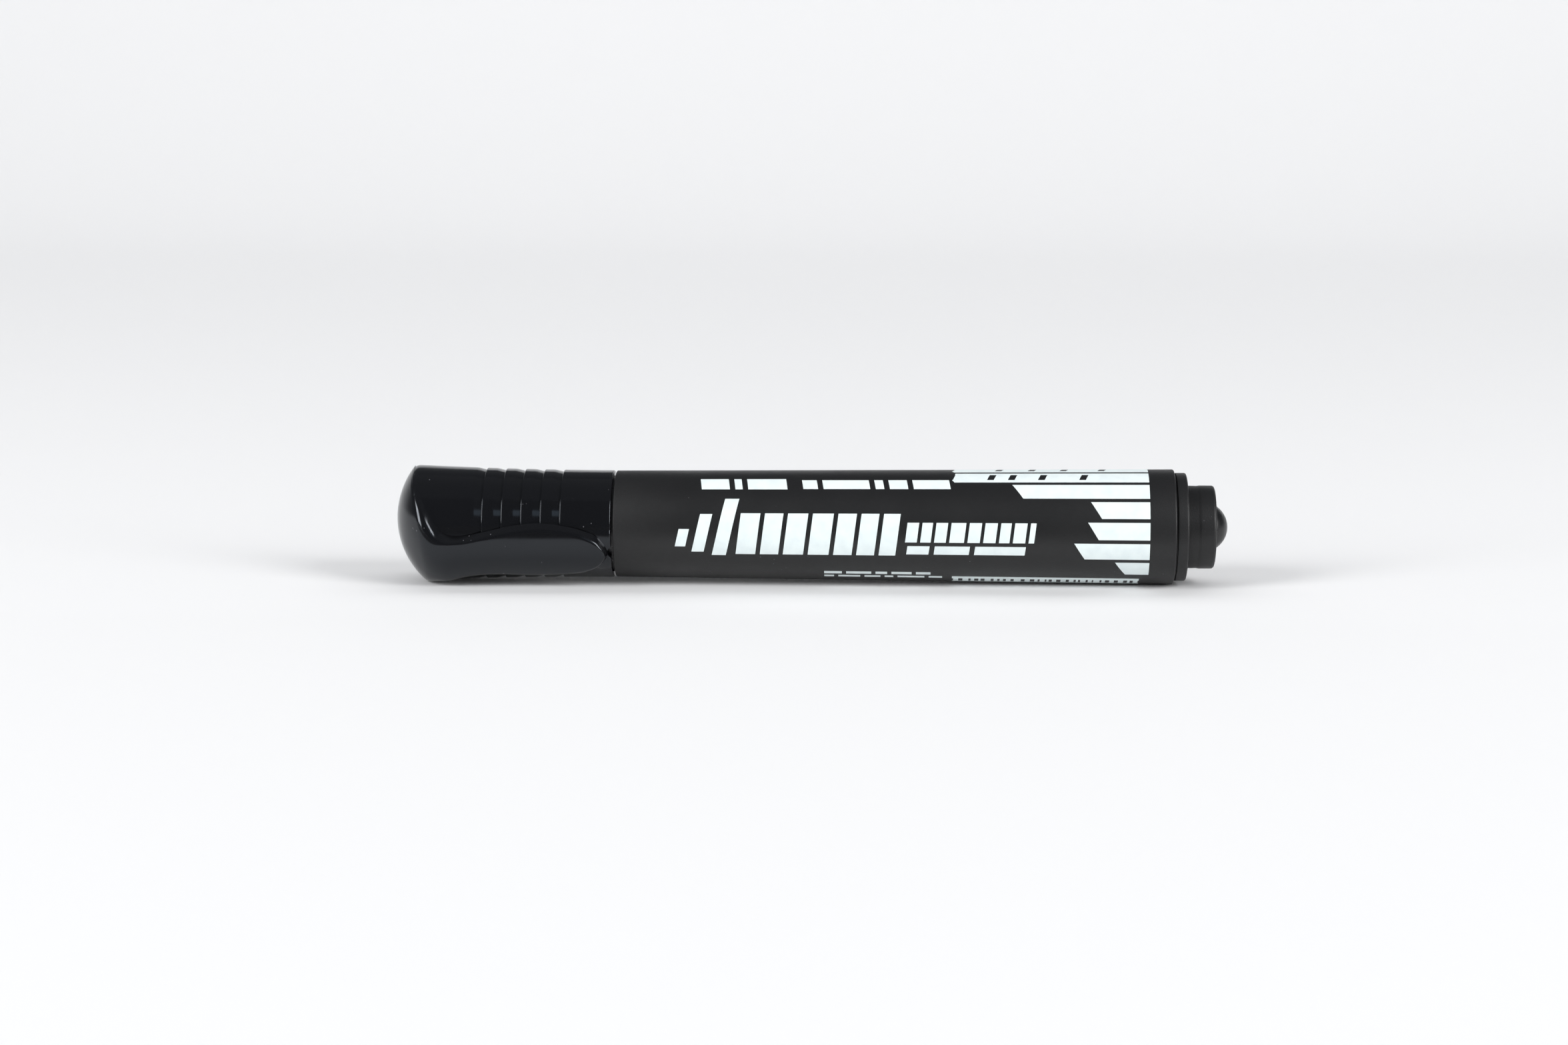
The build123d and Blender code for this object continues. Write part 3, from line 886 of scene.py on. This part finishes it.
def white_print():
    mat, tree, shader = material("print_white", "print_white", 0.5)
    grain = noise(tree, 3800.0, 2.0, 0.6)
    bump(tree, shader, [(grain.outputs["Fac"], 0.35, 0.000015)])
    tone = noise(tree, 500.0, 3.0)
    mix = tree.nodes.new("ShaderNodeMix")
    mix.data_type = "RGBA"
    mix.inputs["A"].default_value = (0.74, 0.82, 0.83, 1.0)
    mix.inputs["B"].default_value = (0.80, 0.88, 0.88, 1.0)
    tree.links.new(ramp(tree, tone.outputs["Fac"], 0.3, 0.6, 0.0, 1.0), mix.inputs["Factor"])
    tree.links.new(mix.outputs["Result"], shader.inputs["Base Color"])
    return mat


def plain(name, slot, roughness, scale, depth, **sockets):
    mat, tree, shader = material(name, slot, roughness, **sockets)
    grain = noise(tree, scale, 3.0, 0.6)
    tree.links.new(
        ramp(tree, grain.outputs["Fac"], 0.3, 0.7, roughness * 0.85, min(1.0, roughness * 1.15)),
        shader.inputs["Roughness"],
    )
    bump(tree, shader, [(grain.outputs["Fac"], 0.4, depth)])
    return mat


cap_material = gloss_cap()
barrel_material = satin_barrel()
button_material = plain("button_gloss", "button_gloss_black", 0.30, 600.0, 0.000004)
print_material = white_print()
liner_material = plain("liner_plastic", "liner_natural", 0.38, 800.0, 0.00001)
section_material = plain("section_plastic", "section_black", 0.3, 1500.0, 0.00001)
nib_material = plain("nib_fibre", "nib_felt", 0.85, 6000.0, 0.0001)
for obj, mat, slot_name in (
    (hood_and_clip, cap_material, "cap_gloss_black"),
    (cap_tube, cap_material, "cap_gloss_black"),
    (barrel, barrel_material, "barrel_satin_black"),
    (rear_plug, barrel_material, "barrel_satin_black"),
    (end_button, button_material, "button_gloss_black"),
    (print_ink, print_material, "print_white"),
    (cap_liner, liner_material, "liner_natural"),
    (front_section, section_material, "section_black"),
    (nib, nib_material, "nib_felt"),
):
    obj.data.materials.append(mat)
for name, mat in (
    ("ink_reservoir", plain("reservoir_fibres", "reservoir_fibre", 0.9, 4000.0, 0.0001)),
    ("reservoir_film", plain("film_plastic", "film_clear", 0.25, 900.0, 0.00001, Alpha=0.45)),
):
    piece = frame["nodes"][name]
    piece.data.materials.clear()
    piece.data.materials.append(mat)

# ---- bodies ---------------------------------------------------------------------------------------
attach(cap_tube, "cap")
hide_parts("cap_shell")
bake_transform(hood_and_clip)
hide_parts("pocket_clip")
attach(cap_liner, "liner")
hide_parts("cap_liner")
for obj, replaced in (
    (barrel, "barrel"),
    (rear_plug, "rear_plug"),
    (end_button, "end_button"),
    (front_section, "front_section"),
    (nib, "nib"),
):
    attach(obj, "barrel")
    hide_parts(replaced)
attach(print_ink, "barrel")

# ---- stage, light and camera ---------------------------------------------------------------------
# Floor that curves up into a low back wall, just under the lowest point of the marker
floor_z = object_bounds()[0][2]
WALL_FROM, WALL_CURVE, WALL_TOP = 0.7, 0.5, 0.6
sweep_profile = [(-2.5, 0.0), (WALL_FROM, 0.0)]
CURVE_STEPS = 24
for k in range(1, CURVE_STEPS + 1):
    a = math.pi / 2 * k / CURVE_STEPS
    sweep_profile.append((WALL_FROM + WALL_CURVE * math.sin(a), WALL_CURVE * (1 - math.cos(a))))
sweep_profile.append((WALL_FROM + WALL_CURVE, WALL_TOP))
sweep = np.array([[(x, y, z + floor_z) for x in (-4.0, 4.0)] for y, z in sweep_profile])
backdrop = build("paper_sweep", [(sweep, False, False)], sharp=60)
backdrop.data.materials.append(matte("paper", (0.90, 0.90, 0.905), 0.85, 0.2))
backdrop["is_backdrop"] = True

world = bpy.data.worlds.new("room")
world.use_nodes = True
background = world.node_tree.nodes["Background"]
background.inputs["Color"].default_value = (0.88, 0.93, 1.0, 1)
background.inputs["Strength"].default_value = 0.13
bpy.context.scene.world = world


def softbox(name, place_at, aim, size, power, colour=(1, 1, 1), in_gloss=True):
    light = bpy.data.lights.new(name, "AREA")
    light.shape = "RECTANGLE"
    light.size, light.size_y = size
    light.energy = power
    light.color = colour
    obj = bpy.data.objects.new(name, light)
    obj.location = place_at
    obj.rotation_mode = "QUATERNION"
    obj.rotation_quaternion = (Vector(aim) - Vector(place_at)).to_track_quat("-Z", "Y")
    obj.visible_glossy = in_gloss
    bpy.context.scene.collection.objects.link(obj)


softbox("softbox_left", (-0.99, -0.64, 0.56), (0, 0, 0), (0.5, 0.9), 12.9)
softbox("softbox_right", (0.99, -0.64, 0.56), (0, 0, 0), (0.5, 0.9), 12.9)
softbox("ceiling", (0, 0.0, 2.2), (0, 0, 0), (3.0, 2.6), 1.4)
softbox("window", (0.77, -1.57, 0.97), (0, 0, 0), (0.5, 0.4), 0.45, (0.7, 0.86, 1.0))
softbox("back_light", (0, 0.9, 1.5), (0, 0.9, 0), (3.0, 1.2), 15.5, in_gloss=False)

# Dark card low in front of the marker, seen only in its gloss
card = np.array([[(x, y, floor_z + 0.0004) for x in (-0.35, 0.35)] for y in (-1.5, -0.032)])
flag = build("dark_card", [(card, False, False)])
flag.data.materials.append(matte("black_felt", (0.08, 0.08, 0.08), 0.9, 0.5))
flag.visible_camera = False
flag.visible_diffuse = False
flag.visible_shadow = False
flag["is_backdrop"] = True

camera_data = bpy.data.cameras.new("camera")
camera_data.sensor_width = 36.0
camera_data.lens = 76.32
camera_data.clip_start, camera_data.clip_end = 0.01, 20
camera = bpy.data.objects.new("camera", camera_data)
azimuth, elevation, distance = math.radians(2.2), math.radians(9.0), 0.549
target = Vector((cad_low[0] + 0.0641, axis_y, axis_z + 0.00033))
back = Vector(
    (
        math.sin(azimuth) * math.cos(elevation),
        -math.cos(azimuth) * math.cos(elevation),
        math.sin(elevation),
    )
)
camera.location = target + back * distance
camera.rotation_mode = "QUATERNION"
camera.rotation_quaternion = (-back).to_track_quat("-Z", "Y")
bpy.context.scene.collection.objects.link(camera)
bpy.context.scene.camera = camera
bpy.context.scene.view_settings.view_transform = "Standard"

low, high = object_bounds()
